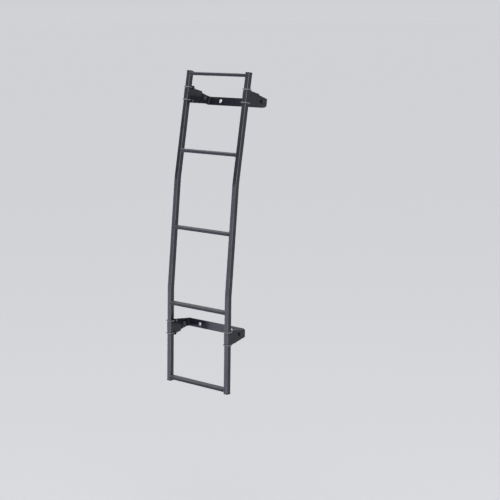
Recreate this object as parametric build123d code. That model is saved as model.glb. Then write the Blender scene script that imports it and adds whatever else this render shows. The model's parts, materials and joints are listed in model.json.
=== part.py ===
from build123d import *
import math
import os

# Ladder for the rear door of a van: two bent square-tube rails with flat rungs between them, held by
# clamp brackets to two folded straps that bolt to the door.
# Millimetres. +X is to the right of a person facing the ladder, +Y points into the door, +Z is up.
# The origin is the centre of the lower strap's back face, which lies flat on the door.

# Rails
rail_spacing = 324.0  # between the two centre lines
tube_side = 20.0
tube_wall = 2.0
tube_corner = 1.6  # radius outside
tube_inner_corner = 0.8
bend_radius = 300.0  # of the centre line
lower_run = 393.5  # foot to the first bend, along the rail
middle_run = 461.5  # first bend to the second
lower_lean = 2.05  # degrees from upright, towards the door
middle_lean = 6.6  # degrees
upper_lean = 11.1  # degrees
foot_length = 12.5  # rail below the centre of the lowest rung
head_length = 9.0  # rail above the centre of the highest rung

# Rungs
rung_count = 5
rung_pitch = 319.3  # along the rail
rung_depth = 30.0
rung_height = 12.0
rung_corner = 2.5

# End caps of the rails
cap_overhang = 1.0  # beyond each side of the tube
cap_thickness = 3.0
cap_corner = 2.5
cap_edge = 1.0  # rounding of the outer rim
cap_stem = 14.0  # length of the plug inside the tube

# Straps
strap_height = 35.0
strap_thickness = 4.0
strap_bend = 5.0  # inside radius of the fold
strap_setback = 34.0  # pivot bolt to the back face
flange_front = 14.0  # pivot bolt to the front edge of a flange
flange_corner = 7.0  # radius
upper_strap_tilt = 20.5  # degrees, the way the door leans

# Clamp brackets
lower_clamp_drop = 104.2  # below the second rung, along the rail
upper_clamp_drop = 82.5  # below the highest rung
lower_reach = 73.4  # rail centre to pivot bolt, square to the rail
upper_reach = 97.7
lower_pivot_offset = 6.2  # of the bolt above the clamp's axis
upper_pivot_offset = -8.2
plate_thickness = 4.0
cheek_thickness = 3.0
cheek_depth = 18.0  # along the sides of the rail, from its back
cheek_corner = 4.0
ear_reach = 19.5  # from the rail's centre to the tip of an ear, on the inner side
ear_height = 14.5
ear_corner = 3.0
web_thickness = 4.0
web_root = 63.0  # height of the web at the plate
web_end = 32.0  # height of its square end near the door
web_corner = 2.0  # radius at that end
web_door_gap = 4.0  # from the end to the back of the strap
lower_root_shift = 0.0  # middle of the web above the clamp's axis, at the plate
upper_root_shift = -5.5
lower_end_shift = 7.0  # the same at the end
upper_end_shift = -10.5
doubler_end = 50.0  # height of the end of the plate beside the web
doubler_setback = 17.5  # from the pivot bolt to that end

# Hook-ended U-bolts
ubolt_rod = 5.0  # diameter
ubolt_bend = 2.0  # inside radius of each corner
ubolt_spacing = 52.5  # along the rail, within one clamp
ubolt_hook = 4.5  # from the rail's centre to the end of the hook behind the rail
ubolt_thread_end = 5.0  # past the nut
ubolt_cheek_gap = 1.3  # along the rail, from rod to cheek
ubolt_nut_flats = 8.0
ubolt_nut_height = 4.5
ubolt_flange_radius = 4.9
ubolt_flange_height = 1.4

# Pivot bolts
pivot_rod = 8.0
pivot_flats = 13.0
pivot_head_height = 5.3
pivot_nut_height = 6.8
pivot_thread_end = 3.5
washer_radius = 8.5
washer_thickness = 1.6

# Door bolts
door_bolt_spacing = 180.0
door_bolt_rod = 8.0
door_bolt_neck = 8.5  # diameter of the plain neck in the strap
door_bolt_head_radius = 7.5
door_bolt_head_height = 4.6
door_bolt_rim = 1.2  # straight edge under the dome
door_bolt_socket_flats = 5.0
door_bolt_socket_depth = 2.4
door_bolt_length = 20.0  # behind the back face

# Fits
running_clearance = 0.3  # curved faces, and the cap's stem in the tube
hole_clearance = 0.3  # a bolt in its hole, all round
thread_clearance = 0.15  # a nut round its thread
thread_chamfer = 0.8
hex_chamfer = 0.05  # at the corners of a bolt head or nut, share of its flats

SIDES = {"left": -1, "right": 1}
half_tube = tube_side / 2
cheek_height = ubolt_spacing - ubolt_rod - 2 * ubolt_cheek_gap
ubolt_leg = half_tube + running_clearance + ubolt_rod / 2  # rail centre to the centre of a leg
plate_back = half_tube + plate_thickness  # rail centre to the plate's door side


def lean_vector(lean):
    """Unit vector up a rail that leans towards the door."""
    angle = math.radians(lean)
    return Vector(0, math.sin(angle), math.cos(angle))


def door_vector(lean):
    """Unit vector square to that rail, towards the door."""
    angle = math.radians(lean)
    return Vector(0, math.cos(angle), -math.sin(angle))


def rail_path(foot):
    """Centre line of a rail from its foot: three straight runs joined by two gentle bends."""
    total = foot_length + (rung_count - 1) * rung_pitch + head_length
    first = foot + lean_vector(lower_lean) * lower_run
    second = first + lean_vector(middle_lean) * middle_run
    top = second + lean_vector(upper_lean) * (total - lower_run - middle_run)
    return FilletPolyline(foot, first, second, top, radius=bend_radius)


def rail_plane(path, distance, side):
    """Frame on a rail: x across the ladder, y towards the door, z up the rail."""
    point = path.position_at(distance, position_mode=PositionMode.LENGTH)
    up = path.tangent_at(distance, position_mode=PositionMode.LENGTH)
    return Plane(point + Vector(side * rail_spacing / 2, 0, 0), x_dir=(1, 0, 0), z_dir=up)


def rail(path, side):
    start = rail_plane(path, 0, side)
    inner_side = tube_side - 2 * tube_wall
    section = RectangleRounded(tube_side, tube_side, tube_corner)
    section -= RectangleRounded(inner_side, inner_side, tube_inner_corner)
    line = Pos(side * rail_spacing / 2, 0, 0) * path
    return sweep(start * section, path=line)


def end_cap():
    """Square plug for a tube end, with its head on the +Z side of the end face."""
    head_side = tube_side + 2 * cap_overhang
    head = extrude(RectangleRounded(head_side, head_side, cap_corner), cap_thickness)
    head = fillet(head.faces().sort_by(Axis.Z)[-1].edges(), cap_edge)
    stem_side = tube_side - 2 * tube_wall - 2 * running_clearance
    stem = extrude(RectangleRounded(stem_side, stem_side, tube_inner_corner), -cap_stem)
    return head + stem


def rung(path, distance):
    """Level flat bar between the inner faces of the rails."""
    centre = path.position_at(distance, position_mode=PositionMode.LENGTH)
    section = Plane.YZ * RectangleRounded(rung_depth, rung_height, rung_corner)
    length = rail_spacing - tube_side
    return Pos(0, centre.Y, centre.Z) * extrude(section, length / 2, both=True)


def strap():
    """U of flat bar with its back face on the XZ plane and a pivot hole in each flange."""
    width = rail_spacing - web_thickness
    length = strap_setback + flange_front
    outer = Pos(0, -length / 2) * Rectangle(width, length)
    outer = fillet(outer.vertices().group_by(Axis.Y)[-1], strap_bend + strap_thickness)
    inner = Pos(0, -length / 2 - strap_thickness) * Rectangle(width - 2 * strap_thickness, length)
    inner = fillet(inner.vertices().group_by(Axis.Y)[-1], strap_bend)
    body = extrude(outer - inner, strap_height / 2, both=True)
    side_view = Pos(-length / 2, 0) * Rectangle(length, strap_height)
    side_view = fillet(side_view.vertices().group_by(Axis.X)[0], flange_corner)
    side_view -= Pos(-strap_setback, 0) * Circle(pivot_rod / 2 + hole_clearance)
    body &= extrude(Plane.YZ * side_view, width / 2, both=True)
    for side in SIDES.values():
        hole = Pos(side * door_bolt_spacing / 2, 0) * Circle(door_bolt_neck / 2 + hole_clearance)
        body -= extrude(Plane.XZ * hole, strap_thickness)
    return body


def door_bolt():
    """Dome-headed bolt through the strap's back, with its thread behind the door side."""
    head_face = -strap_thickness
    crown = head_face - door_bolt_head_height
    rim = head_face - door_bolt_rim
    head_profile = make_face(
        [
            Line((0, head_face), (door_bolt_head_radius, head_face)),
            Line((door_bolt_head_radius, head_face), (door_bolt_head_radius, rim)),
            TangentArc((0, crown), (door_bolt_head_radius, rim), tangent=(1, 0)),
            Line((0, crown), (0, head_face)),
        ]
    )
    head = revolve(head_profile, Axis.Y)
    socket_radius = door_bolt_socket_flats / 2
    socket = RegularPolygon(socket_radius, 6, major_radius=False)
    head -= extrude(Plane((0, crown, 0), z_dir=(0, 1, 0)) * socket, door_bolt_socket_depth)
    along = Plane((0, head_face, 0), z_dir=(0, 1, 0))
    neck = extrude(along * Circle(door_bolt_neck / 2), strap_thickness)
    back = Plane((0, 0, 0), z_dir=(0, 1, 0))
    thread = extrude(back * Circle(door_bolt_rod / 2), door_bolt_length)
    thread = chamfer(thread.edges().sort_by(Axis.Y)[-1], thread_chamfer)
    return head + neck + thread


def hex_prism(flats, height):
    """Hexagon on the XY plane, with the corners of its far end turned down."""
    prism = extrude(RegularPolygon(flats / 2, 6, major_radius=False), height)
    round_bar = extrude(Circle(1.005 * flats / math.sqrt(3)), height)
    round_bar = chamfer(round_bar.edges().sort_by(Axis.Z)[-1], hex_chamfer * flats)
    return prism & round_bar


def plate_view(inner, root_shift):
    """Plate behind a rail: a block between the cheeks, a spine for the web, an ear for each threaded leg."""
    view = Rectangle(2 * (half_tube + cheek_thickness), cheek_height)
    spine_width = web_thickness + strap_thickness
    view += Pos(inner * strap_thickness / 2, root_shift) * Rectangle(spine_width, web_root)
    ear = RectangleRounded(ear_reach + web_thickness / 2, ear_height, ear_corner)
    for sign in (-1, 1):
        height = sign * ubolt_spacing / 2
        view += Pos(inner * (ear_reach - web_thickness / 2) / 2, height) * ear
        view -= Pos(inner * ubolt_leg, height) * Circle(ubolt_rod / 2 + hole_clearance)
    return view


def taper_view(end, root_shift, end_shift, end_height):
    """Side view of a plate that tapers from the clamp's plate to a square end."""
    low_root = (plate_back, root_shift - web_root / 2)
    low_end = (end, end_shift - end_height / 2)
    high_end = (end, end_shift + end_height / 2)
    high_root = (plate_back, root_shift + web_root / 2)
    view = make_face(Polyline(low_root, low_end, high_end, high_root, close=True))
    return fillet(view.vertices().group_by(Axis.X)[-1], web_corner)


def bracket(reach, offset, root_shift, end_shift, inner):
    """Clamp bracket in a rail frame, with its ears and doubler towards the middle of the ladder."""
    front = Plane((0, half_tube, 0), x_dir=(1, 0, 0), z_dir=(0, -1, 0))
    body = extrude(front * plate_view(inner, root_shift), -plate_thickness)
    cheek_length = cheek_depth + plate_thickness
    cheek_view = Pos(plate_back - cheek_length / 2, 0) * Rectangle(cheek_length, cheek_height)
    cheek_view = fillet(cheek_view.vertices().group_by(Axis.X)[0], cheek_corner)
    for side in SIDES.values():
        inside = Plane((side * half_tube, 0, 0), x_dir=(0, 1, 0), z_dir=(1, 0, 0))
        body += extrude(inside * cheek_view, side * cheek_thickness)
    web = taper_view(reach + strap_setback - web_door_gap, root_shift, end_shift, web_end)
    web -= Pos(reach, offset) * Circle(pivot_rod / 2 + hole_clearance)
    body += extrude(Plane.YZ * web, web_thickness / 2, both=True)
    doubler = taper_view(reach - doubler_setback, root_shift, root_shift, doubler_end)
    beside = Plane.YZ.offset(inner * web_thickness / 2)
    return body + extrude(beside * doubler, inner * strap_thickness)


def ubolt(inner):
    """Rod round the rail: a threaded leg through the ear, and a hook round the rail's outer back corner."""
    tip = plate_back + ubolt_flange_height + ubolt_nut_height + ubolt_thread_end
    line = FilletPolyline(
        (inner * ubolt_leg, tip, 0),
        (inner * ubolt_leg, -ubolt_leg, 0),
        (-inner * ubolt_leg, -ubolt_leg, 0),
        (-inner * ubolt_leg, ubolt_leg, 0),
        (-inner * ubolt_hook, ubolt_leg, 0),
        radius=ubolt_bend + ubolt_rod / 2,
    )
    start = Plane(line @ 0, z_dir=line % 0)
    rod = sweep(start * Circle(ubolt_rod / 2), path=line)
    tip_edge = rod.edges().filter_by(GeomType.CIRCLE).group_by(Axis.Y)[-1]
    return chamfer(tip_edge, thread_chamfer)


def ubolt_nuts(inner):
    """The two flanged nuts of one clamp, as separate solids on the door side of the ears."""
    door_side = Plane((0, plate_back, 0), x_dir=(1, 0, 0), z_dir=(0, 1, 0))
    flange = extrude(Circle(ubolt_flange_radius), ubolt_flange_height)
    nut = flange + hex_prism(ubolt_nut_flats, ubolt_flange_height + ubolt_nut_height)
    nut -= extrude(Circle(ubolt_rod / 2 + thread_clearance), ubolt_flange_height + ubolt_nut_height)
    return [door_side * (Pos(inner * ubolt_leg, sign * ubolt_spacing / 2) * nut) for sign in (-1, 1)]


def pivot_plane(clamp, reach, offset, side):
    """Frame on a pivot bolt's axis, at the web's outer face, with z pointing away from the ladder."""
    point = clamp.from_local_coords(Vector(side * web_thickness / 2, reach, offset))
    return Plane(point, x_dir=clamp.z_dir, z_dir=(side, 0, 0))


def pivot_bolt():
    grip = web_thickness + strap_thickness + 2 * washer_thickness
    shank = grip + pivot_nut_height + pivot_thread_end
    head = hex_prism(pivot_flats, pivot_head_height)
    rod = extrude(Circle(pivot_rod / 2), -shank)
    rod = chamfer(rod.edges().sort_by(Axis.Z)[0], thread_chamfer)
    return Pos(0, 0, washer_thickness) * (head + rod)


def pivot_washers():
    """One washer under the bolt's head and one under its nut, as separate solids."""
    ring = Circle(washer_radius) - Circle(pivot_rod / 2 + hole_clearance)
    under_head = extrude(ring, washer_thickness)
    under_nut = Pos(0, 0, -web_thickness - strap_thickness) * extrude(ring, -washer_thickness)
    return [under_head, under_nut]


def pivot_nut():
    face = -web_thickness - strap_thickness - washer_thickness
    nut = hex_prism(pivot_flats, pivot_nut_height)
    nut -= extrude(Circle(pivot_rod / 2 + thread_clearance), pivot_nut_height)
    return Pos(0, 0, face) * (Rot(180, 0, 0) * nut)


def save(name, *solids):
    """Writes one node: a single solid, or like solids that don't touch."""
    shape = solids[0] if len(solids) == 1 else Compound(children=list(solids))
    export_step(shape, f"parts/{name}.step")


os.makedirs("parts", exist_ok=True)

# The rail's foot follows from the lower pivot bolt, which the lower strap puts in place.
lower_distance = foot_length + rung_pitch - lower_clamp_drop
upper_distance = foot_length + (rung_count - 1) * rung_pitch - upper_clamp_drop
lower_pivot = Vector(0, -strap_setback, 0)
clamp_centre = lower_pivot - door_vector(lower_lean) * lower_reach
clamp_centre -= lean_vector(lower_lean) * lower_pivot_offset
path = rail_path(clamp_centre - lean_vector(lower_lean) * lower_distance)

for index in range(rung_count):
    save(f"rung_{index + 1}", rung(path, foot_length + index * rung_pitch))

for side_name, side in SIDES.items():
    save(f"{side_name}_rail", rail(path, side))
    head_plane = rail_plane(path, path.length, side)
    foot_plane = rail_plane(path, 0, side)
    save(f"{side_name}_rail_head_cap", head_plane * end_cap())
    save(f"{side_name}_rail_foot_cap", foot_plane * (Rot(180, 0, 0) * end_cap()))

LEVELS = {
    "lower": (lower_distance, lower_reach, lower_pivot_offset, lower_root_shift, lower_end_shift, 0.0),
    "upper": (
        upper_distance,
        upper_reach,
        upper_pivot_offset,
        upper_root_shift,
        upper_end_shift,
        upper_strap_tilt,
    ),
}
for level, (distance, reach, offset, root_shift, end_shift, tilt) in LEVELS.items():
    pivot = rail_plane(path, distance, 0).from_local_coords(Vector(0, reach, offset))
    back_centre = pivot + door_vector(tilt) * strap_setback
    strap_place = Pos(back_centre) * Rot(-tilt, 0, 0)
    save(f"{level}_strap", strap_place * strap())
    for side_name, side in SIDES.items():
        corner = f"{level}_{side_name}"
        clamp = rail_plane(path, distance, side)
        save(f"{corner}_bracket", clamp * bracket(reach, offset, root_shift, end_shift, -side))
        for end, sign in {"bottom": -1, "top": 1}.items():
            save(f"{corner}_{end}_ubolt", clamp * (Pos(0, 0, sign * ubolt_spacing / 2) * ubolt(-side)))
        save(f"{corner}_ubolt_nuts", *[clamp * nut for nut in ubolt_nuts(-side)])
        axis = pivot_plane(clamp, reach, offset, side)
        save(f"{corner}_pivot_bolt", axis * pivot_bolt())
        save(f"{corner}_pivot_nut", axis * pivot_nut())
        save(f"{corner}_pivot_washers", *[axis * washer for washer in pivot_washers()])
        bolt_place = strap_place * Pos(side * door_bolt_spacing / 2, 0, 0)
        save(f"{corner}_door_bolt", bolt_place * door_bolt())
    print(f"{level} strap: centre of its back face at Y {back_centre.Y:.4f}, Z {back_centre.Z:.4f}")
print(f"rails: {path.length:.2f} long")
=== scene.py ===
# %% [markdown]
# # A van rear door ladder, dressed for its picture
#
# The CAD frame gives us every rail, rung, bracket, strap and bolt at its real size. Our work here is the
# finish: a satin powder coat, dark zinc and bright steel, moulded caps, weld beads and threads. We load the
# frame once, keep its box so that we can prove later that nothing grew, and never move a CAD piece.

# %% Load the frame
import json
import math

import bmesh
import bpy
from mathutils import Matrix, Vector


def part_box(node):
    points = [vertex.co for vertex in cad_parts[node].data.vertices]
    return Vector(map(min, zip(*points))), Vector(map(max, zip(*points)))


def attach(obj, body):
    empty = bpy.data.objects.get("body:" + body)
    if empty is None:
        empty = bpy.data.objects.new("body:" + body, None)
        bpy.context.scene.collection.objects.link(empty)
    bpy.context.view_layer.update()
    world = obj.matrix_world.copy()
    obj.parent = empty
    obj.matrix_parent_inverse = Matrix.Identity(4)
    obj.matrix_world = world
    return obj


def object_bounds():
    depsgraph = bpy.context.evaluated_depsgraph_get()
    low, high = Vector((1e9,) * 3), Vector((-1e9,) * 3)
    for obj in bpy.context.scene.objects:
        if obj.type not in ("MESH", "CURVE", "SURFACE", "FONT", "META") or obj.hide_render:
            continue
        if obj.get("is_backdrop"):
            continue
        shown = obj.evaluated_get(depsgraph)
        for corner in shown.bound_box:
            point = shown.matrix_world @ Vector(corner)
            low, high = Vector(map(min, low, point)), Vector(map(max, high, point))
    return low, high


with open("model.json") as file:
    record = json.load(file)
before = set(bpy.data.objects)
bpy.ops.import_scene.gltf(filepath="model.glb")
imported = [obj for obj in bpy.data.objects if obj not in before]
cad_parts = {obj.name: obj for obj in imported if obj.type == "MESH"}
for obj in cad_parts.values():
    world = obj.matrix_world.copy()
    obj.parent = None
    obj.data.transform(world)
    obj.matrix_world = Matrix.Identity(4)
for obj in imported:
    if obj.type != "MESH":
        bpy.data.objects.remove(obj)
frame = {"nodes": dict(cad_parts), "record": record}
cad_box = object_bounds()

MM = 0.001
nodes = frame["nodes"]
print("loaded", len(nodes), "CAD pieces, box", [round(v, 3) for corner in cad_box for v in corner])

# %% [markdown]
# ## The camera
#
# The photograph looks at the ladder from its right, a little from above, with a long lens. A camera is
# easiest to trust when it is set by a few real quantities: where it stands, which way it turns, how far it
# tips down, and the focal length as a share of the picture's width.

# %% Camera
PICTURE = 500.0  # pixels on a side
FOCAL_PIXELS = 1325.0
CAMERA_PLACE = Vector((3.6837, -3.946, 1.314))
CAMERA_TURN = math.radians(41.505)  # to the left of straight ahead
CAMERA_DIP = math.radians(10.377)
CAMERA_ROLL = math.radians(0.51)


def add_object(name, data):
    """New object in the scene, at the origin."""
    item = bpy.data.objects.new(name, data)
    bpy.context.scene.collection.objects.link(item)
    return item


camera_data = bpy.data.cameras.new("photo_camera")
camera_data.sensor_width = 36.0
camera_data.lens = FOCAL_PIXELS / PICTURE * camera_data.sensor_width
camera_data.clip_start = 0.05
camera_data.clip_end = 2000.0
camera = add_object("photo_camera", camera_data)
camera.matrix_world = (
    Matrix.Translation(CAMERA_PLACE)
    @ Matrix.Rotation(CAMERA_TURN, 4, "Z")
    @ Matrix.Rotation(math.pi / 2 - CAMERA_DIP, 4, "X")
    @ Matrix.Rotation(-CAMERA_ROLL, 4, "Z")
)
bpy.context.scene.camera = camera
print("camera lens", round(camera_data.lens, 1), "mm")

# %% [markdown]
# ## Floor and sky
#
# The ladder hangs on a door, more than half a metre over the ground, so the floor lies at ground level and
# reaches far enough to fill the picture behind it. A dark satin coat shows mostly what it mirrors, so we
# build the sky from what the ladder has to mirror. In front it is dim over the horizon, with one paler band
# that the tops of the rails pick up. Behind it is a little paler, for the tops of the rungs. Overhead it is
# bright and lights the floor evenly. At the horizon both halves have the colour of the far floor, so no line
# shows where they meet. Three small helpers for nodes stand before the sky, and the finishes use them again.

# %% Floor
GROUND_HEIGHT = -0.83  # under the lower strap
FLOOR_HALF = 150.0
FLOOR_COLOUR = (0.604, 0.604, 0.612, 1.0)

floor_mesh = bpy.data.meshes.new("floor")
floor_signs = ((-1, -1), (1, -1), (1, 1), (-1, 1))
floor_corners = [(x * FLOOR_HALF, y * FLOOR_HALF, GROUND_HEIGHT) for x, y in floor_signs]
floor_mesh.from_pydata(floor_corners, [], [(0, 1, 2, 3)])
floor = add_object("floor", floor_mesh)
floor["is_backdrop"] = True

floor_finish = bpy.data.materials.new("pale_floor")
floor_finish.use_nodes = True
floor_shader = floor_finish.node_tree.nodes["Principled BSDF"]
floor_shader.inputs["Base Color"].default_value = FLOOR_COLOUR
floor_shader.inputs["Roughness"].default_value = 0.95
floor_shader.inputs["Specular IOR Level"].default_value = 0.0
floor_mesh.materials.append(floor_finish)
print("floor", 2 * FLOOR_HALF, "m wide at", GROUND_HEIGHT, "m")

# %% Node helpers
MIX_FIRST, MIX_SECOND, MIX_RESULT = 6, 7, 2  # places of the colour sockets on a Mix node


def feed(tree, socket, value):
    """Links an input to another node's output, or sets it to a plain value."""
    if hasattr(value, "is_linked"):
        tree.links.new(value, socket)
    else:
        socket.default_value = value


def stretch(tree, value, low, high, new_low=0.0, new_high=1.0):
    """Map Range with a smooth step, clamped."""
    node = tree.nodes.new("ShaderNodeMapRange")
    node.interpolation_type = "SMOOTHSTEP"
    tree.links.new(value, node.inputs["Value"])
    limits = {"From Min": low, "From Max": high, "To Min": new_low, "To Max": new_high}
    for label, number in limits.items():
        node.inputs[label].default_value = number
    return node.outputs["Result"]


def mix_colour(tree, mask, first, second):
    """Mix of two colours by a mask."""
    node = tree.nodes.new("ShaderNodeMix")
    node.data_type = "RGBA"
    tree.links.new(mask, node.inputs["Factor"])
    feed(tree, node.inputs[MIX_FIRST], first)
    feed(tree, node.inputs[MIX_SECOND], second)
    return node.outputs[MIX_RESULT]


# %% Sky
SKY_STRENGTH = 2.0
HORIZON = (0.318, 0.323, 0.336)  # the far floor's colour
FRONT_PALE = (0.620, 0.630, 0.660)
FRONT_DIM = (0.150, 0.152, 0.164)
BACK_DIM = (0.260, 0.264, 0.275)
HIGH_SKY = (0.830, 0.840, 0.860)
ZENITH = (0.920, 0.930, 0.950)
FRONT_BANDS = (  # sine of the height over the horizon, and the colour there as a share of the strength
    (0.00, HORIZON),
    (0.03, (0.280, 0.285, 0.300)),
    (0.10, (0.095, 0.097, 0.106)),
    (0.19, (0.100, 0.102, 0.112)),
    (0.25, FRONT_PALE),
    (0.32, FRONT_PALE),
    (0.39, FRONT_DIM),
    (0.64, FRONT_DIM),
    (0.82, HIGH_SKY),
    (1.00, ZENITH),
)
BACK_BANDS = (
    (0.00, HORIZON),
    (0.05, (0.240, 0.244, 0.255)),
    (0.10, (0.150, 0.152, 0.160)),
    (0.18, BACK_DIM),
    (0.64, BACK_DIM),
    (0.82, HIGH_SKY),
    (1.00, ZENITH),
)
BACK_STARTS, BACK_ALONE = -0.1, 0.4  # share of +Y in the direction

world = bpy.data.worlds.new("studio_sky")
world.use_nodes = True
sky = world.node_tree
direction = sky.nodes.new("ShaderNodeTexCoord")
split = sky.nodes.new("ShaderNodeSeparateXYZ")
sky.links.new(direction.outputs["Generated"], split.inputs["Vector"])


def sky_ramp(band_list):
    """Colour by height over the horizon."""
    ramp = sky.nodes.new("ShaderNodeValToRGB")
    stops = ramp.color_ramp.elements
    while len(stops) < len(band_list):
        stops.new(0.5)
    for stop, (height, colour) in zip(stops, band_list):
        stop.position = height
        stop.color = (*colour, 1.0)
    sky.links.new(split.outputs["Z"], ramp.inputs["Fac"])
    return ramp.outputs["Color"]


behind = stretch(sky, split.outputs["Y"], BACK_STARTS, BACK_ALONE)
whole_sky = mix_colour(sky, behind, sky_ramp(FRONT_BANDS), sky_ramp(BACK_BANDS))
background = sky.nodes["Background"]
background.inputs["Strength"].default_value = SKY_STRENGTH
sky.links.new(whole_sky, background.inputs["Color"])
bpy.context.scene.world = world
bpy.context.scene.view_settings.view_transform = "Standard"
print("sky with", len(FRONT_BANDS), "bands in front and", len(BACK_BANDS), "behind")

# %% [markdown]
# ## Lamps
#
# Four soft lamps shape the metal, and the camera sees none of them. A large box beside the camera draws the
# thin light line along the rails' corners. A panel lies flat on the floor in front and shines up: the
# upright lower runs mirror it, as a real ladder mirrors pale ground, and it faces away from the floor, so it
# leaves no glow there. A wide strip stands beyond the floor's edge for the middle runs, which lean back and
# mirror the horizon. A weak box overhead lifts the rungs' tops.

# %% Lamps
LADDER_MIDDLE = (0.0, -0.05, 0.41)
PANEL_MIDDLE = (-10.0, -10.7)
PANEL_LIFT = 0.01  # over the floor
PANEL_AIM = 9.0  # height of a point straight over the panel
STRIP_HEIGHT = 7.0
WHITE = (1.0, 1.0, 1.0)
COOL = (0.74, 0.77, 1.0)


def softbox(name, place, width, height, watts, target=LADDER_MIDDLE, colour=WHITE):
    """Rectangular lamp that looks at a point."""
    lamp_data = bpy.data.lights.new(name, "AREA")
    lamp_data.shape = "RECTANGLE"
    lamp_data.size = width
    lamp_data.size_y = height
    lamp_data.energy = watts
    lamp_data.color = colour
    lamp = add_object(name, lamp_data)
    lamp.location = place
    lamp.rotation_mode = "QUATERNION"
    lamp.rotation_quaternion = (Vector(target) - Vector(place)).to_track_quat("-Z", "Y")
    lamp.visible_camera = False


softbox("box_by_camera", (3.6, -3.9, 2.3), width=6.8, height=2.8, watts=85.0)
softbox(
    "floor_panel", (*PANEL_MIDDLE, GROUND_HEIGHT + PANEL_LIFT), width=18.0, height=18.4, watts=1700.0,
    target=(*PANEL_MIDDLE, PANEL_AIM), colour=COOL,
)
softbox(
    "far_strip", (-122.0, -195.0, STRIP_HEIGHT), width=98.0, height=16.4, watts=14500.0,
    target=(*LADDER_MIDDLE[:2], STRIP_HEIGHT), colour=COOL,
)
softbox("overhead", (0.3, -0.6, 3.6), width=2.6, height=2.6, watts=8.0)

# %% [markdown]
# ## Shared effects of the finishes
#
# Three things happen to coated and plated pieces outdoors. The coat has a faint grain and is never quite
# even, sharp edges lose a little of it, and dust settles on what faces up. A fourth group is a painted
# highlight: the rounded corners of a tube are painted paler, where they would catch the light. Each is a
# node group with named inputs, built once. A group gives out masks, values and a softened normal, so the
# shader and its plain numbers stay in the material, where an exporter can read them.

# %% Node group helpers


def new_group(name, inputs, outputs, normal_outputs=()):
    """Empty shader group with named sockets, and its two end nodes."""
    group = bpy.data.node_groups.new(name, "ShaderNodeTree")
    for label, value in inputs.items():
        socket = group.interface.new_socket(label, in_out="INPUT", socket_type="NodeSocketFloat")
        socket.default_value = value
    for label in outputs:
        group.interface.new_socket(label, in_out="OUTPUT", socket_type="NodeSocketFloat")
    for label in normal_outputs:
        group.interface.new_socket(label, in_out="OUTPUT", socket_type="NodeSocketVector")
    return group, group.nodes.new("NodeGroupInput"), group.nodes.new("NodeGroupOutput")


def math_node(tree, operation, first, second=None, clamp=False):
    """Math node on one or two sockets or numbers."""
    node = tree.nodes.new("ShaderNodeMath")
    node.operation = operation
    node.use_clamp = clamp
    feed(tree, node.inputs[0], first)
    if second is not None:
        feed(tree, node.inputs[1], second)
    return node.outputs["Value"]


def noise_by_size(tree, size, detail, roughness=0.5):
    """Noise on Object coordinates whose blotches are about one size across, in metres."""
    place = tree.nodes.new("ShaderNodeTexCoord")
    noise = tree.nodes.new("ShaderNodeTexNoise")
    noise.inputs["Detail"].default_value = detail
    noise.inputs["Roughness"].default_value = roughness
    tree.links.new(place.outputs["Object"], noise.inputs["Vector"])
    tree.links.new(math_node(tree, "DIVIDE", 1.0, size), noise.inputs["Scale"])
    return noise.outputs["Fac"]


def normal_parts(tree):
    """X, Y and Z of the surface's direction."""
    facing = tree.nodes.new("ShaderNodeNewGeometry")
    parts = tree.nodes.new("ShaderNodeSeparateXYZ")
    tree.links.new(facing.outputs["Normal"], parts.inputs["Vector"])
    return parts.outputs


def masked_by_amount(group, ends, amount, first, second):
    """Sends the product of two masks, times an amount, to a group's Mask."""
    both = math_node(group, "MULTIPLY", first, second)
    group.links.new(math_node(group, "MULTIPLY", both, amount, True), ends.inputs["Mask"])


# %% Coat grain
NOISE_RANGE = (0.3, 0.7)  # most of a noise's values lie between these
GLOSS_SHARE = 0.3  # size of the gloss patches, as a share of the mottle's

grain_group, grain_in, grain_out = new_group(
    "coat_grain", {"Peel Size": 1.6 * MM, "Mottle Size": 50 * MM}, ("Mottle", "Gloss", "Peel")
)
peel = noise_by_size(grain_group, grain_in.outputs["Peel Size"], detail=2.0)
mottle = noise_by_size(grain_group, grain_in.outputs["Mottle Size"], detail=5.0, roughness=0.6)
gloss_size = math_node(grain_group, "MULTIPLY", grain_in.outputs["Mottle Size"], GLOSS_SHARE)
gloss = noise_by_size(grain_group, gloss_size, detail=3.0)
grain_group.links.new(stretch(grain_group, mottle, *NOISE_RANGE), grain_out.inputs["Mottle"])
grain_group.links.new(gloss, grain_out.inputs["Gloss"])
grain_group.links.new(peel, grain_out.inputs["Peel"])
print("group", grain_group.name, "with", len(grain_group.nodes), "nodes")

# %% Edge wear
EDGE_TURN = (0.01, 0.12)  # 1 minus the cosine of the turn at an edge, where wear starts and is full
CHIP_RANGE = (0.45, 0.62)  # of the noise, from sound coat to chipped

wear_group, wear_in, wear_out = new_group(
    "edge_wear", {"Width": 0.8 * MM, "Chip Size": 6 * MM, "Amount": 0.5}, ("Mask",), ("Soft Normal",)
)
rounded = wear_group.nodes.new("ShaderNodeBevel")
rounded.samples = 4
surface = wear_group.nodes.new("ShaderNodeNewGeometry")
alike = wear_group.nodes.new("ShaderNodeVectorMath")
alike.operation = "DOT_PRODUCT"
wear_group.links.new(wear_in.outputs["Width"], rounded.inputs["Radius"])
wear_group.links.new(rounded.outputs["Normal"], alike.inputs[0])
wear_group.links.new(rounded.outputs["Normal"], wear_out.inputs["Soft Normal"])
wear_group.links.new(surface.outputs["Normal"], alike.inputs[1])
turn = math_node(wear_group, "SUBTRACT", 1.0, alike.outputs["Value"])
chip_noise = noise_by_size(wear_group, wear_in.outputs["Chip Size"], detail=4.0, roughness=0.65)
near_edge = stretch(wear_group, turn, *EDGE_TURN)
chips = stretch(wear_group, chip_noise, *CHIP_RANGE)
masked_by_amount(wear_group, wear_out, wear_in.outputs["Amount"], near_edge, chips)
print("group", wear_group.name, "with", len(wear_group.nodes), "nodes")

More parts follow.
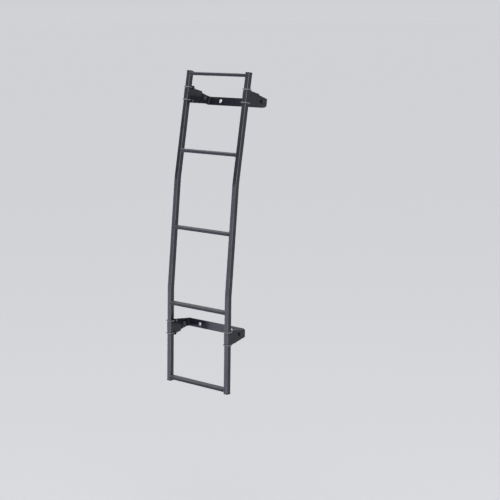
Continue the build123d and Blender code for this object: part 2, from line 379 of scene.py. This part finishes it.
# %% Settled dust
UP_RANGE = (0.35, 0.95)  # Z of the normal, where dust starts to stay and where it all stays
PATCH_RANGE = (0.25, 0.75)
THIN_DUST = 0.35  # left between the patches

dust_group, dust_in, dust_out = new_group("settled_dust", {"Patch Size": 30 * MM, "Amount": 0.3}, ("Mask",))
on_top = stretch(dust_group, normal_parts(dust_group)["Z"], *UP_RANGE)
patch_noise = noise_by_size(dust_group, dust_in.outputs["Patch Size"], detail=5.0, roughness=0.6)
patches = stretch(dust_group, patch_noise, *PATCH_RANGE, THIN_DUST)
masked_by_amount(dust_group, dust_out, dust_in.outputs["Amount"], on_top, patches)
print("group", dust_group.name, "with", len(dust_group.nodes), "nodes")

# %% Painted highlight on the corners
# Paints the rounded corners of a tube paler: a painted highlight, where the corners would catch the light.
CORNER_RANGE = (0.26, 0.42)  # of the sum below, which is 0 on a flat side and 0.5 half-way round a corner
STREAK_RANGE = (0.3, 0.6)
FAINT_CORNER_HIGHLIGHT = 0.45  # left between the streaks

corner_highlight_group, corner_highlight_in, corner_highlight_out = new_group("painted_corner_highlight", {"Streak Size": 60 * MM, "Amount": 0.8}, ("Mask",))
parts = normal_parts(corner_highlight_group)
shares = [math_node(corner_highlight_group, "ABSOLUTE", parts[letter]) for letter in "XYZ"]
pairs = [math_node(corner_highlight_group, "MULTIPLY", shares[i], shares[(i + 1) % 3]) for i in range(3)]
between = math_node(corner_highlight_group, "ADD", math_node(corner_highlight_group, "ADD", pairs[0], pairs[1]), pairs[2])
on_corner = stretch(corner_highlight_group, between, *CORNER_RANGE)
streak_noise = noise_by_size(corner_highlight_group, corner_highlight_in.outputs["Streak Size"], detail=4.0, roughness=0.6)
streaks = stretch(corner_highlight_group, streak_noise, *STREAK_RANGE, FAINT_CORNER_HIGHLIGHT)
masked_by_amount(corner_highlight_group, corner_highlight_out, corner_highlight_in.outputs["Amount"], on_corner, streaks)
print("group", corner_highlight_group.name, "with", len(corner_highlight_group.nodes), "nodes")

# %% [markdown]
# ## The finishes
#
# The rails, rungs, brackets and straps wear a satin powder coat: nearly black with a breath of blue, smooth
# but for a fine orange peel. Shoes have scuffed it dull on the rungs. Thicker dust there makes the rungs'
# tops paler, which is dust and also a painted highlight from above. The U-bolts have a thin grey coat. The
# pivot bolts and their washers are blackened, the nuts are dark zinc, the door bolts bright steel, and the
# caps moulded plastic. One builder serves them all, since each is a base colour that varies, a worn colour
# at the edges, dust, a roughness that varies and a small bump. On tubes it also paints the rounded corners
# paler, as a painted highlight.

# %% Finish builder
DUST_COLOUR = (0.20, 0.19, 0.18)
# The pale colour on the next line but one is painted on rounded corners as a highlight.
CORNER_HIGHLIGHT_COLOUR = (0.205, 0.208, 0.235)
CORNER_HIGHLIGHT_STREAK = 60 * MM
DUST_DULLS = 0.5  # roughness that full dust adds
BUMP_STRENGTH = 0.5


def place_group(tree, group, **values):
    """Places a group in a material and sets its inputs."""
    node = tree.nodes.new("ShaderNodeGroup")
    node.node_tree = group
    for label, value in values.items():
        node.inputs[label.replace("_", " ")].default_value = value
    return node.outputs


def make_finish(name, low, high, worn, rough, grain, wear, dust, bump, metal=0.0, gloss=0.5, corner_highlight=0.0):
    """Material whose colour runs from low to high, with worn edges, dust and a fine bump.

    rough is the least and the most roughness, grain the sizes of peel and mottle, wear an edge's width, the
    size of its chips and their amount, dust the size of its patches and their amount, and bump a depth.
    """
    finish = bpy.data.materials.new(name)
    finish.use_nodes = True
    tree = finish.node_tree
    shader = tree.nodes["Principled BSDF"]
    shader.inputs["Metallic"].default_value = metal
    shader.inputs["Specular IOR Level"].default_value = gloss
    skin = place_group(tree, grain_group, Peel_Size=grain[0], Mottle_Size=grain[1])
    edge = place_group(tree, wear_group, Width=wear[0], Chip_Size=wear[1], Amount=wear[2])
    film = place_group(tree, dust_group, Patch_Size=dust[0], Amount=dust[1])
    colour = mix_colour(tree, skin["Mottle"], (*low, 1.0), (*high, 1.0))
    colour = mix_colour(tree, edge["Mask"], colour, (*worn, 1.0))
    # Painted highlight: the rounded corners are painted paler.
    if corner_highlight:
        corner_lit = place_group(tree, corner_highlight_group, Streak_Size=CORNER_HIGHLIGHT_STREAK, Amount=corner_highlight)
        colour = mix_colour(tree, corner_lit["Mask"], colour, (*CORNER_HIGHLIGHT_COLOUR, 1.0))
    colour = mix_colour(tree, film["Mask"], colour, (*DUST_COLOUR, 1.0))
    tree.links.new(colour, shader.inputs["Base Color"])
    sheen = stretch(tree, skin["Gloss"], *NOISE_RANGE, *rough)
    dull = math_node(tree, "MULTIPLY", film["Mask"], DUST_DULLS)
    tree.links.new(math_node(tree, "ADD", sheen, dull, True), shader.inputs["Roughness"])
    relief = tree.nodes.new("ShaderNodeBump")
    relief.inputs["Strength"].default_value = BUMP_STRENGTH
    relief.inputs["Distance"].default_value = bump
    tree.links.new(skin["Peel"], relief.inputs["Height"])
    tree.links.new(edge["Soft Normal"], relief.inputs["Normal"])
    tree.links.new(relief.outputs["Normal"], shader.inputs["Normal"])
    return finish


# %% A finish for each slot
TUBE_LOW, TUBE_HIGH = (0.0125, 0.0127, 0.0195), (0.017, 0.0172, 0.0255)

finishes = {
    # The tubes' rounded corners get a painted highlight.
    "coated_tube": make_finish(
        "satin_coat_on_tube", low=TUBE_LOW, high=TUBE_HIGH, worn=(0.050, 0.050, 0.060),
        rough=(0.16, 0.22), grain=(1.4 * MM, 45 * MM), wear=(0.7 * MM, 7 * MM, 0.5),
        dust=(28 * MM, 0.20), bump=0.02 * MM, corner_highlight=0.9,
    ),
    "coated_plate": make_finish(
        "satin_coat_on_plate", low=(0.011, 0.0112, 0.0170), high=(0.015, 0.0152, 0.0225),
        worn=(0.050, 0.050, 0.060), rough=(0.18, 0.26), grain=(1.4 * MM, 30 * MM),
        wear=(0.8 * MM, 6 * MM, 0.6), dust=(22 * MM, 0.20), bump=0.02 * MM, gloss=0.42,
    ),
    "ubolt_steel": make_finish(
        "coat_on_bolts", low=(0.105, 0.105, 0.118), high=(0.140, 0.140, 0.152), worn=(0.260, 0.260, 0.265),
        rough=(0.22, 0.32), grain=(0.9 * MM, 12 * MM), wear=(0.6 * MM, 3 * MM, 0.7),
        dust=(9 * MM, 0.18), bump=0.015 * MM, gloss=0.9,
    ),
    "zinc_fasteners": make_finish(
        "dark_zinc", low=(0.24, 0.245, 0.26), high=(0.36, 0.355, 0.345), worn=(0.52, 0.52, 0.52),
        rough=(0.30, 0.46), grain=(0.6 * MM, 5 * MM), wear=(0.5 * MM, 2 * MM, 0.8),
        dust=(5 * MM, 0.15), bump=0.01 * MM, metal=1.0,
    ),
    "bright_bolts": make_finish(
        "bright_steel", low=(0.66, 0.67, 0.68), high=(0.78, 0.78, 0.78), worn=(0.86, 0.86, 0.86),
        rough=(0.20, 0.34), grain=(0.5 * MM, 6 * MM), wear=(0.5 * MM, 2 * MM, 0.5),
        dust=(5 * MM, 0.10), bump=0.008 * MM, metal=1.0,
    ),
    "cap_plastic": make_finish(
        "moulded_cap", low=(0.010, 0.010, 0.012), high=(0.014, 0.014, 0.017), worn=(0.030, 0.030, 0.032),
        rough=(0.50, 0.60), grain=(0.5 * MM, 12 * MM), wear=(0.7 * MM, 4 * MM, 0.4),
        dust=(9 * MM, 0.30), bump=0.03 * MM,
    ),
}
print("finishes", [finish.name for finish in finishes.values()])

# %% Three special finishes, and all of them on the pieces
black_bolt = make_finish(
    "blackened_bolt", low=(0.012, 0.012, 0.015), high=(0.020, 0.020, 0.024), worn=(0.080, 0.080, 0.085),
    rough=(0.30, 0.42), grain=(0.7 * MM, 6 * MM), wear=(0.6 * MM, 2 * MM, 0.6),
    dust=(5 * MM, 0.12), bump=0.015 * MM,
)
black_washer = make_finish(
    "blackened_washer", low=(0.050, 0.051, 0.056), high=(0.080, 0.080, 0.084), worn=(0.200, 0.200, 0.205),
    rough=(0.34, 0.48), grain=(0.6 * MM, 5 * MM), wear=(0.5 * MM, 2 * MM, 0.7),
    dust=(5 * MM, 0.12), bump=0.01 * MM, metal=1.0,
)
# The rungs' coat is duller. Its thicker dust makes the tops paler, which is dust and also a painted
# highlight from above; the corners get the painted corner highlight too.
dull_rung_coat_with_painted_light = make_finish(
    "dull_coat_on_rungs_with_painted_light", low=TUBE_LOW, high=TUBE_HIGH, worn=(0.060, 0.060, 0.070),
    rough=(0.22, 0.30), grain=(1.4 * MM, 45 * MM), wear=(0.8 * MM, 6 * MM, 0.6),
    dust=(24 * MM, 0.38), bump=0.02 * MM, gloss=0.25, corner_highlight=0.5,
)
slot_of = {row["node"]: row["material_slot"] for row in frame["record"]["subparts"]}
special = {"pivot_bolt": black_bolt, "pivot_washers": black_washer}
for name, node in nodes.items():
    usual = dull_rung_coat_with_painted_light if name.startswith("rung_") else finishes[slot_of[name]]
    node.data.materials.clear()
    node.data.materials.append(special.get(name.split("_", 2)[-1], usual))
print("finishes on", len(nodes), "pieces of", len(set(slot_of.values())), "slots")

# %% [markdown]
# ## Weld beads
#
# On the real ladder each rung is butted between the rails and welded all round, and each bracket's web is
# welded to its base. A bead is a row of overlapping puddles, so its thickness rises and falls about every
# 1.6 mm, under the coat. A sculpted tube would do for one bead. There are many, all alike and all on
# straight seams, so Geometry Nodes draw them: we give only the seams' corners, and the tree rounds the
# corners, divides the line, lets the radius ripple and run out at open ends, and sweeps a circle along it.

# %% Geometry Nodes helpers


def new_tree(name, sizes):
    """Geometry tree with a geometry input, named sizes and a material; returns it with its ends."""
    tree = bpy.data.node_groups.new(name, "GeometryNodeTree")
    tree.interface.new_socket("Geometry", in_out="INPUT", socket_type="NodeSocketGeometry")
    for label, value in sizes.items():
        socket = tree.interface.new_socket(label, in_out="INPUT", socket_type="NodeSocketFloat")
        socket.default_value = value
    tree.interface.new_socket("Material", in_out="INPUT", socket_type="NodeSocketMaterial")
    tree.interface.new_socket("Geometry", in_out="OUTPUT", socket_type="NodeSocketGeometry")
    return tree, tree.nodes.new("NodeGroupInput").outputs, tree.nodes.new("NodeGroupOutput").inputs


def step(tree, kind, settings=None, **inputs):
    """Adds a node with its settings and feeds its inputs."""
    node = tree.nodes.new(kind)
    for label, value in (settings or {}).items():
        setattr(node, label, value)
    for label, value in inputs.items():
        feed(tree, node.inputs[label.replace("_", " ")], value)
    return node


def finish_tree(tree, ends, mesh_socket, material):
    """Smooth, real mesh with its material, sent to the tree's output."""
    smooth = step(tree, "GeometryNodeSetShadeSmooth", Geometry=mesh_socket)
    real = step(tree, "GeometryNodeRealizeInstances", Geometry=smooth.outputs["Geometry"])
    coated = step(tree, "GeometryNodeSetMaterial", Geometry=real.outputs["Geometry"], Material=material)
    tree.links.new(coated.outputs["Geometry"], ends["Geometry"])


def grow(name, base, tree, sizes, slot, finish=None):
    """Runs a tree on a base mesh and keeps the result as a plain piece of the ladder."""
    piece = add_object(name, base)
    modifier = piece.modifiers.new("grow", "NODES")
    modifier.node_group = tree
    finish = finish or finishes[slot]
    values = dict(sizes, Material=finish)
    for socket in tree.interface.items_tree:
        if socket.in_out == "INPUT" and socket.name in values:
            modifier[socket.identifier] = values[socket.name]
    depsgraph = bpy.context.evaluated_depsgraph_get()
    grown = bpy.data.meshes.new_from_object(piece.evaluated_get(depsgraph))
    piece.modifiers.remove(modifier)
    piece.data = grown
    grown.name = name
    grown.materials.clear()  # realized instances can bring an empty slot with them
    grown.materials.append(finish)
    for face in grown.polygons:
        face.material_index = 0
    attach(piece, "root")
    return piece


def report(piece):
    """Prints how many triangles a piece has and, as a test of its normals, its volume."""
    solid = bmesh.new()
    solid.from_mesh(piece.data)
    volume = solid.calc_volume(signed=True) / MM**3
    solid.free()
    triangles = sum(len(face.vertices) - 2 for face in piece.data.polygons)
    finish = piece.data.materials[0].name
    print(piece.name, triangles, "triangles,", round(volume, 1), "cubic mm,", finish)


# %% Bead tree
RINGS_PER_RIPPLE = 4
RING_POINTS = 10
CORNER_POINTS = 3
OPEN_END = 0.04  # least share of the run-out, so that an open end never shrinks to a point

bead_tree, bead, bead_end = new_tree(
    "weld_bead",
    {
        "Bead Radius": 2.0 * MM,
        "Ripple Pitch": 1.6 * MM,
        "Ripple Depth": 0.12,
        "Corner Radius": 2.0 * MM,
        "Run Out": 3.0 * MM,
    },
)
seam = step(bead_tree, "GeometryNodeMeshToCurve", Mesh=bead["Geometry"])
turned = step(
    bead_tree, "GeometryNodeFilletCurve", {"mode": "POLY"},
    Curve=seam.outputs["Curve"], Count=CORNER_POINTS, Radius=bead["Corner Radius"],
)
spacing = math_node(bead_tree, "MULTIPLY", bead["Ripple Pitch"], 1 / RINGS_PER_RIPPLE)
fine = step(
    bead_tree, "GeometryNodeResampleCurve", {"mode": "LENGTH"}, Curve=turned.outputs["Curve"], Length=spacing
)
along = bead_tree.nodes.new("GeometryNodeSplineParameter").outputs["Length"]
whole = bead_tree.nodes.new("GeometryNodeSplineLength").outputs["Length"]
closed = bead_tree.nodes.new("GeometryNodeInputSplineCyclic").outputs["Cyclic"]
to_end = math_node(bead_tree, "MINIMUM", along, math_node(bead_tree, "SUBTRACT", whole, along))
run_out = math_node(bead_tree, "DIVIDE", to_end, bead["Run Out"], True)
run_out = math_node(bead_tree, "SQRT", math_node(bead_tree, "MAXIMUM", run_out, OPEN_END))
run_out = math_node(bead_tree, "MAXIMUM", run_out, closed)
angle = math_node(bead_tree, "MULTIPLY", along, math.tau)
wave = math_node(bead_tree, "SINE", math_node(bead_tree, "DIVIDE", angle, bead["Ripple Pitch"]))
wave = math_node(bead_tree, "MULTIPLY", wave, bead["Ripple Depth"])
swell = math_node(bead_tree, "MULTIPLY", math_node(bead_tree, "ADD", wave, 1.0), run_out)
ring = step(
    bead_tree, "GeometryNodeCurvePrimitiveCircle", Resolution=RING_POINTS, Radius=bead["Bead Radius"]
)
swept = step(
    bead_tree, "GeometryNodeCurveToMesh",
    Curve=fine.outputs["Curve"], Profile_Curve=ring.outputs["Curve"], Fill_Caps=True, Scale=swell,
)
finish_tree(bead_tree, bead_end, swept.outputs["Mesh"], bead["Material"])
print("bead tree with", len(bead_tree.nodes), "nodes")

# %% [markdown]
# ### Where the beads go
#
# The rungs are deeper than the rails, so a rung's bead runs round the patch where its end touches the rail:
# along the rung's top and bottom, and down the rail's front and back corners. A rail leans, so we read its
# front and back from its own mesh at the height of the rung. A clamp's place is read from its two U-bolts:
# one axis joins them, and the second points to the door.

# %% Beads round the rung ends
TUBE_CORNER_INSET = 0.6 * MM  # from the rail's face into its rounded corner
SIDES = {"left": -1, "right": 1}


def rail_faces(side, height):
    """Front and back of a rail at one height, where its edges cross that level."""
    mesh = nodes[f"{side}_rail"].data
    hits = []
    for edge in mesh.edges:
        a, b = (mesh.vertices[index].co for index in edge.vertices)
        if (a.z - height) * (b.z - height) < 0:
            hits.append(a.lerp(b, (height - a.z) / (b.z - a.z)).y)
    return min(hits) + TUBE_CORNER_INSET, max(hits) - TUBE_CORNER_INSET


def seam_mesh(name, lines):
    """Mesh of bare edges from lists of points; a line whose flag is set closes on itself."""
    points, edges = [], []
    for line, closes in lines:
        first = len(points)
        points += line
        count = len(line)
        edges += [(first + i, first + (i + 1) % count) for i in range(count if closes else count - 1)]
    mesh = bpy.data.meshes.new(name)
    mesh.from_pydata(points, edges, [])
    return mesh


rung_seams = []
for name in sorted(node for node in nodes if node.startswith("rung_")):
    low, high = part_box(name)
    for side, x in (("left", low[0]), ("right", high[0])):
        front_low, back_low = rail_faces(side, low[2])
        front_high, back_high = rail_faces(side, high[2])
        corners = [(front_low, low[2]), (back_low, low[2]), (back_high, high[2]), (front_high, high[2])]
        rung_seams.append(([(x, y, z) for y, z in corners], True))
rung_beads = grow(
    "rung_weld_beads", seam_mesh("rung_seams", rung_seams), bead_tree,
    {"Bead Radius": 2.0 * MM, "Corner Radius": 1.8 * MM}, "coated_tube",
)
report(rung_beads)

# %% Beads on the brackets
RODS_FRONT = -15.3 * MM  # front of the U-bolts in the clamp, from the rail's middle
BASE_BACK = 14.0 * MM  # door side of the bracket's base
WEB_SIDES = (2.0 * MM, -6.0 * MM)  # outer face of the web and inner face of its doubler
WEB_SEAM_HALF = 20.5 * MM  # half the length of a seam
CLAMPS = [(level, side) for level in ("lower", "upper") for side in SIDES]


def clamp_place(level, side):
    """Function that turns clamp coordinates (outwards, to the door, up the rail) into a point."""
    rods = [nodes[f"{level}_{side}_{end}_ubolt"] for end in ("bottom", "top")]
    middles = [sum((Vector(c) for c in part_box(rod.name)), Vector()) / 2 for rod in rods]
    up = (middles[1] - middles[0]).normalized()
    door = Vector((0.0, up.z, -up.y))
    points = [vertex.co for rod in rods for vertex in rod.data.vertices]
    v0 = min(point.dot(door) for point in points) - RODS_FRONT
    w0 = 0.5 * (min(point.dot(up) for point in points) + max(point.dot(up) for point in points))
    x0 = sum(corner[0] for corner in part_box(f"{side}_rail")) / 2
    return lambda u, v, w: Vector((x0 + SIDES[side] * u, 0, 0)) + (v0 + v) * door + (w0 + w) * up


web_seams = []
for level, side in CLAMPS:
    place = clamp_place(level, side)
    for u in WEB_SIDES:
        web_seams.append(([place(u, BASE_BACK, w) for w in (-WEB_SEAM_HALF, WEB_SEAM_HALF)], False))
web_beads = grow(
    "web_weld_beads", seam_mesh("web_seams", web_seams), bead_tree,
    {"Bead Radius": 1.8 * MM, "Run Out": 3.0 * MM}, "coated_plate",
)
report(web_beads)

# %% [markdown]
# ## Threads
#
# The U-bolts, the pivot bolts and the studs of the door bolts end in a thread. A thread could be cut with a
# screw modifier, but here the same ridge is needed on sixteen ends of two sizes. So one tree winds a spiral,
# sweeps a small flat diamond along it, lets it run out at both ends, and sets a copy on each end. The base
# mesh only holds points, each with the direction of its bolt as an attribute. The threads are right-handed.

# %% Thread tree
TURN_POINTS = 20
RIDGE_HALF_WIDTH = 0.42  # share of the pitch
FADE_TURNS = 0.5  # over which the ridge rises at each end
THIN_END = 0.05  # share of the ridge that is left there

thread_tree, thread, thread_end = new_tree(
    "thread_ridge",
    {"Radius": 4.0 * MM, "Pitch": 1.25 * MM, "Length": 10.0 * MM, "Ridge Height": 0.2 * MM},
)
turns = math_node(thread_tree, "DIVIDE", thread["Length"], thread["Pitch"])
helix = step(
    thread_tree, "GeometryNodeCurveSpiral", Resolution=TURN_POINTS, Rotations=turns,
    Start_Radius=thread["Radius"], End_Radius=thread["Radius"], Height=thread["Length"], Reverse=True,
)
level_helix = step(
    thread_tree, "GeometryNodeSetCurveNormal", {"mode": "Z_UP"}, Curve=helix.outputs["Curve"]
)
diamond = step(thread_tree, "GeometryNodeCurvePrimitiveCircle", Resolution=4, Radius=1.0)
half_width = math_node(thread_tree, "MULTIPLY", thread["Pitch"], RIDGE_HALF_WIDTH)
flat = step(thread_tree, "ShaderNodeCombineXYZ", X=thread["Ridge Height"], Y=half_width, Z=1.0)
ridge = step(
    thread_tree, "GeometryNodeTransform", Geometry=diamond.outputs["Curve"], Scale=flat.outputs["Vector"]
)
share = thread_tree.nodes.new("GeometryNodeSplineParameter").outputs["Factor"]
nearest = math_node(thread_tree, "MINIMUM", share, math_node(thread_tree, "SUBTRACT", 1.0, share))
turns_to_end = math_node(thread_tree, "MULTIPLY", nearest, turns)
fade = math_node(thread_tree, "MULTIPLY", turns_to_end, 1 / FADE_TURNS, True)
fade = math_node(thread_tree, "MAXIMUM", fade, THIN_END)
wound = step(
    thread_tree, "GeometryNodeCurveToMesh", Curve=level_helix.outputs["Curve"],
    Profile_Curve=ridge.outputs["Geometry"], Fill_Caps=True, Scale=fade,
)
axis = step(thread_tree, "GeometryNodeInputNamedAttribute", {"data_type": "FLOAT_VECTOR"}, Name="axis")
turn_to = step(
    thread_tree, "FunctionNodeAlignRotationToVector", {"axis": "Z"}, Vector=axis.outputs["Attribute"]
)
copies = step(
    thread_tree, "GeometryNodeInstanceOnPoints", Points=thread["Geometry"], Instance=wound.outputs["Mesh"],
    Rotation=turn_to.outputs["Rotation"],
)
finish_tree(thread_tree, thread_end, copies.outputs["Instances"], thread["Material"])
print("thread tree with", len(thread_tree.nodes), "nodes")

# %% Where the threads go
NUT_BACK = 19.9 * MM  # of the U-bolts, to the door from the rail's middle
LEG_OFFSET = 12.8 * MM  # of a threaded leg, inwards
ROD_RISE = 26.25 * MM  # of a U-bolt, from the clamp's middle

leg_ends, pivot_ends, stud_ends = [], [], []
for level, side in CLAMPS:
    place = clamp_place(level, side)
    to_door = (place(0, 1, 0) - place(0, 0, 0)).normalized()
    for rise in (-ROD_RISE, ROD_RISE):
        leg_ends.append((place(-LEG_OFFSET, NUT_BACK, rise), to_door))
    bolt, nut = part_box(f"{level}_{side}_pivot_bolt"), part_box(f"{level}_{side}_pivot_nut")
    inwards = Vector((-SIDES[side], 0.0, 0.0))
    nut_face = nut[1][0] if side == "left" else nut[0][0]
    bolt_middle = [(bolt[0][i] + bolt[1][i]) / 2 for i in range(3)]
    pivot_ends.append((Vector((nut_face, *bolt_middle[1:])), inwards))
for mount in frame["record"]["mounts"]:
    if mount["kind"] == "bolt_pattern":
        reach = mount["dims"]["pcd_mm"] / 2 * MM
        for sign in SIDES.values():
            stud = Vector(mount["pos_m"]) + Vector((sign * reach, 0, 0))
            stud_ends.append((stud, Vector(mount["axis"])))
print("threads on", len(leg_ends), "legs,", len(pivot_ends), "pivot bolts and", len(stud_ends), "studs")

# %% Threaded ends
M5 = {"Radius": 2.5 * MM, "Pitch": 0.8 * MM, "Ridge Height": 0.2 * MM}
M8 = {"Radius": 4.0 * MM, "Pitch": 1.25 * MM, "Ridge Height": 0.25 * MM}
TIP_CHAMFER = 0.8 * MM
LEG_PAST_NUT = 5.0 * MM
PIVOT_PAST_NUT = 3.5 * MM
STUD_LENGTH = 20.0 * MM


def cut_thread(name, ends, size, length, slot, finish=None):
    """Thread on every end, given as a point and the direction of its bolt."""
    mesh = bpy.data.meshes.new(f"{name}_ends")
    mesh.from_pydata([point for point, direction in ends], [], [])
    attribute = mesh.attributes.new("axis", "FLOAT_VECTOR", "POINT")
    for entry, (point, direction) in zip(attribute.data, ends):
        entry.vector = direction
    report(grow(name, mesh, thread_tree, dict(size, Length=length - TIP_CHAMFER), slot, finish))


cut_thread("ubolt_threads", leg_ends, M5, LEG_PAST_NUT, "ubolt_steel")
cut_thread("pivot_threads", pivot_ends, M8, PIVOT_PAST_NUT, "ubolt_steel", black_bolt)
cut_thread("stud_threads", stud_ends, M8, STUD_LENGTH, "bright_bolts")

# %% [markdown]
# ## Proof of size
#
# Beads and threads lie in the corners and on the ends of what they belong to, so the dressed ladder has to
# fill the same box as the CAD. We keep both boxes side by side and print how far apart they are.

# %% Size
boxes = {"cad": [list(c) for c in cad_box], "visual": [list(c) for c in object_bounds()]}
departures = [abs(a - b) for pair in zip(*boxes.values()) for a, b in zip(*pair)]
print("visual box departs from the CAD box by", max(departures) / MM, "mm")
